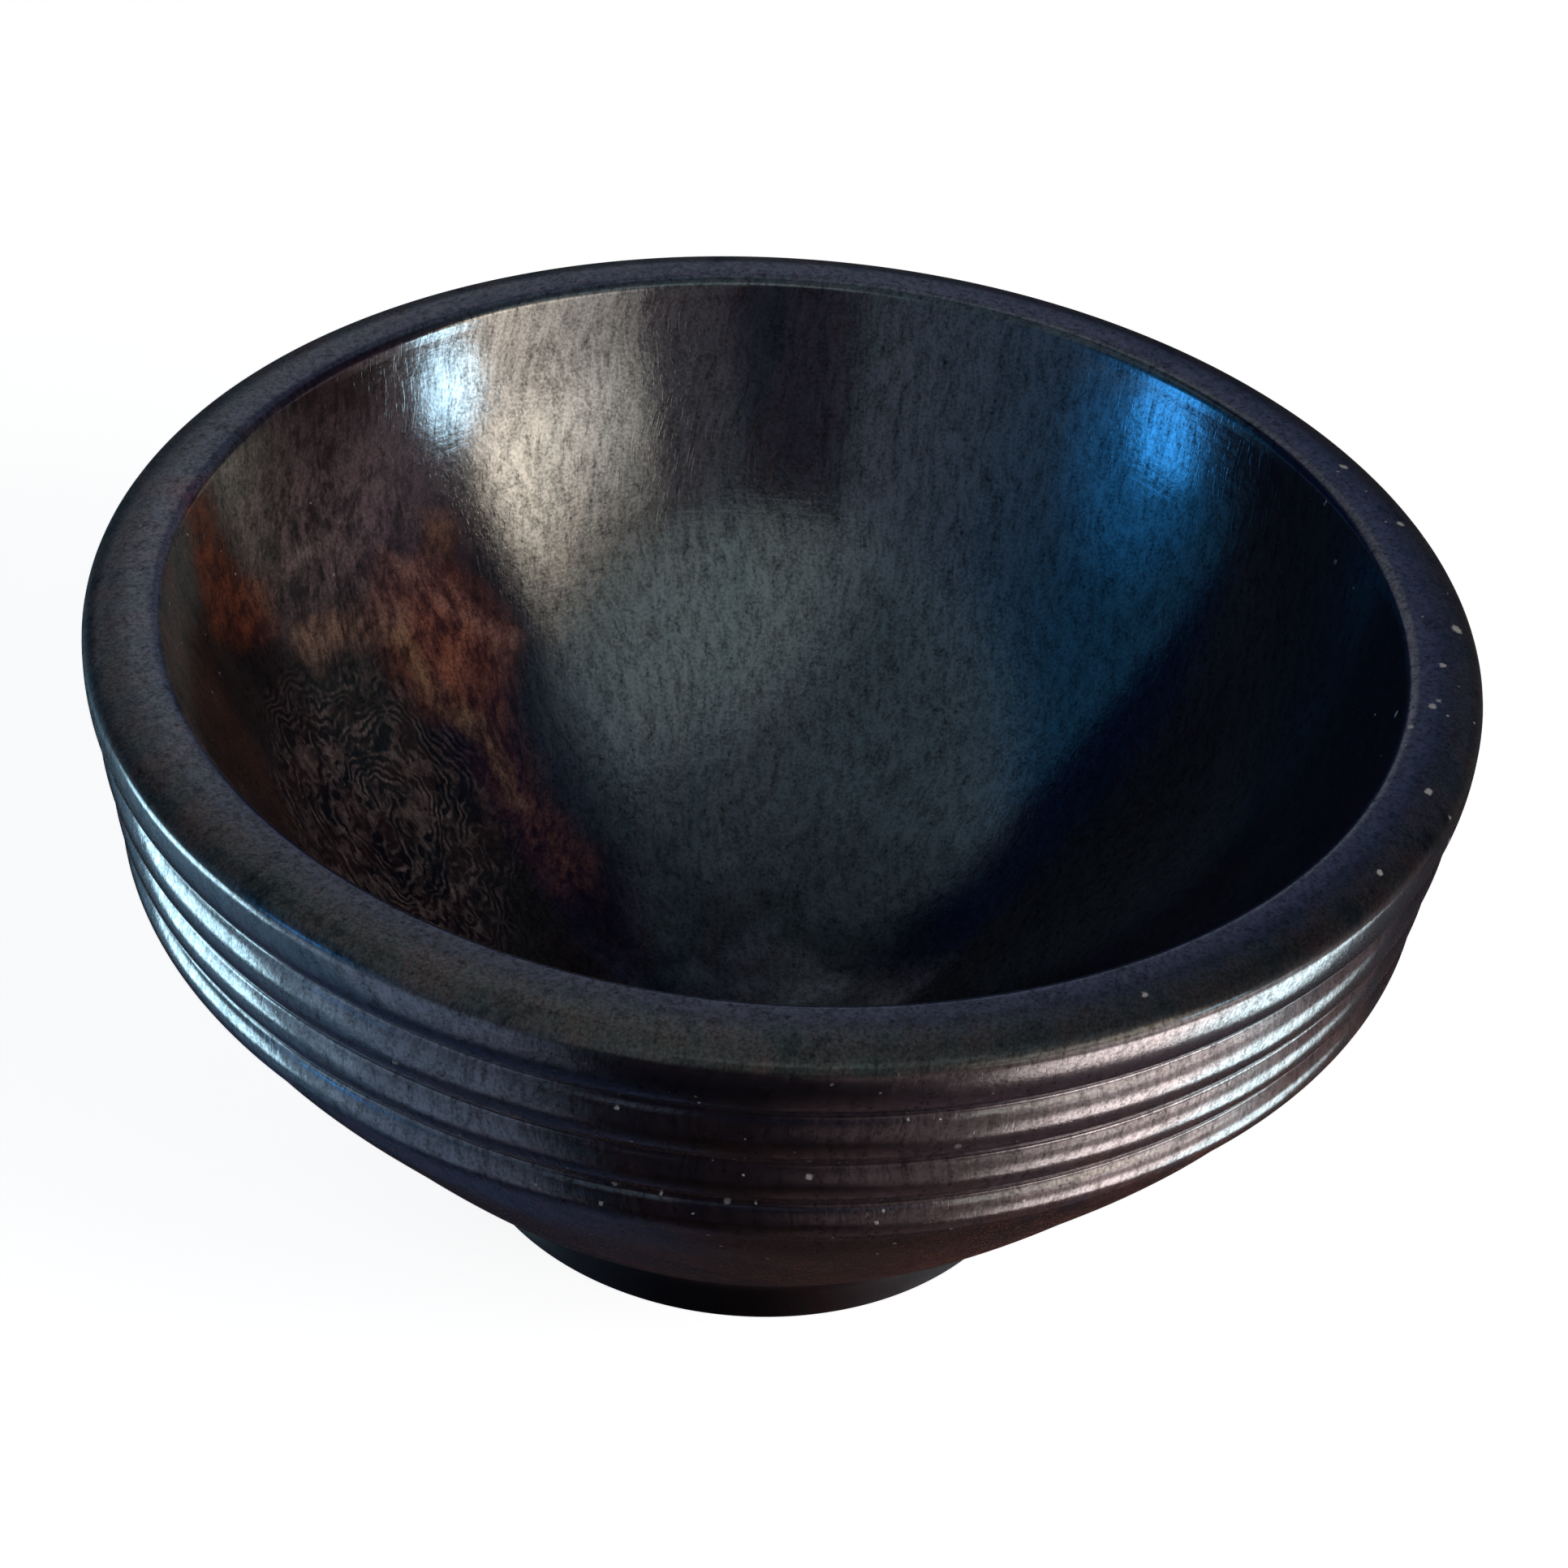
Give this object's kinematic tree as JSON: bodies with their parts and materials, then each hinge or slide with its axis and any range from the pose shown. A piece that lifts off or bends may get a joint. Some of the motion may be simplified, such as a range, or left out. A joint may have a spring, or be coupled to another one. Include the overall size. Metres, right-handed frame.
{
  "type": "bowl",
  "caption": "Deep turned wooden bowl with a broad flat rim, raised beads under the rim, a tapering body and a short round foot.",
  "frame": {"origin": "centre of the foot's standing plane, on the turning axis", "axes": "+Z along the turning axis, from the foot up to the rim; +X to the right and +Y away from the viewer of the picture; the bowl is round, so X and Y are interchangeable"},
  "size_m": [0.24, 0.24, 0.118],
  "materials": {
    "dark_polished_wood": "polished, glossy wax or lacquer over dark red-brown close-grained hardwood"
  },
  "bodies": {
    "root": {"bowl": "dark_polished_wood"}
  },
  "joints": []
}
